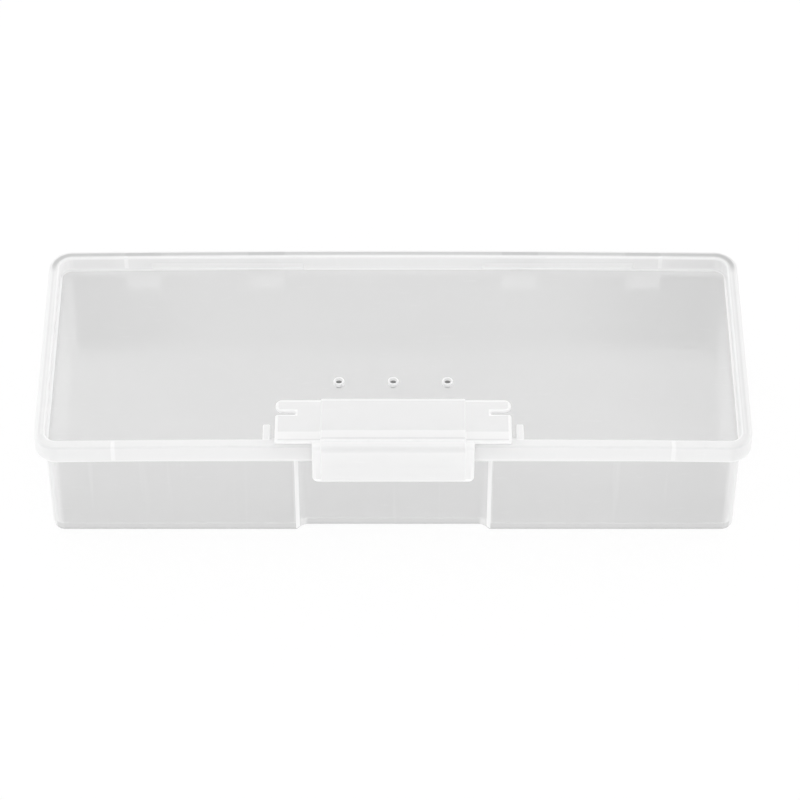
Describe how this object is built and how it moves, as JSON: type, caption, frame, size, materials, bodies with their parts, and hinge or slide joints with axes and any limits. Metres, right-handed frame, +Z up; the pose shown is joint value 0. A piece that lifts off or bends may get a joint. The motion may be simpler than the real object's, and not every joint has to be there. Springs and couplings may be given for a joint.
{
  "type": "hinged pencil case",
  "caption": "Long frosted plastic pencil case: a deep tray, a lid with a raised rim hinged along the back, and a rocker latch over a finger bay at the front.",
  "frame": {"origin": "centre of the tray's flat underside", "axes": "+X along the case's length, -Y towards the latch side, +Y towards the hinge side, +Z up"},
  "size_m": [0.19, 0.079, 0.039],
  "materials": {
    "pp_tray": "clear frosted polypropylene",
    "pp_lid": "clear frosted polypropylene",
    "pp_latch": "clear frosted polypropylene, thicker section"
  },
  "bodies": {
    "base": {"base_tray": "pp_tray"},
    "lid": {"lid": "pp_lid"},
    "latch": {"latch": "pp_latch"}
  },
  "joints": [
    {"name": "lid_hinge", "type": "hinge", "parent": "base", "child": "lid", "pos_m": [0, 0.03785, 0.0316], "axis": [-1, 0, 0], "range_deg": [0, 120]},
    {"name": "latch_pivot", "type": "hinge", "parent": "lid", "child": "latch", "pos_m": [0, -0.03225, 0.03426], "axis": [-1, 0, 0], "range_deg": [0, 15]}
  ]
}
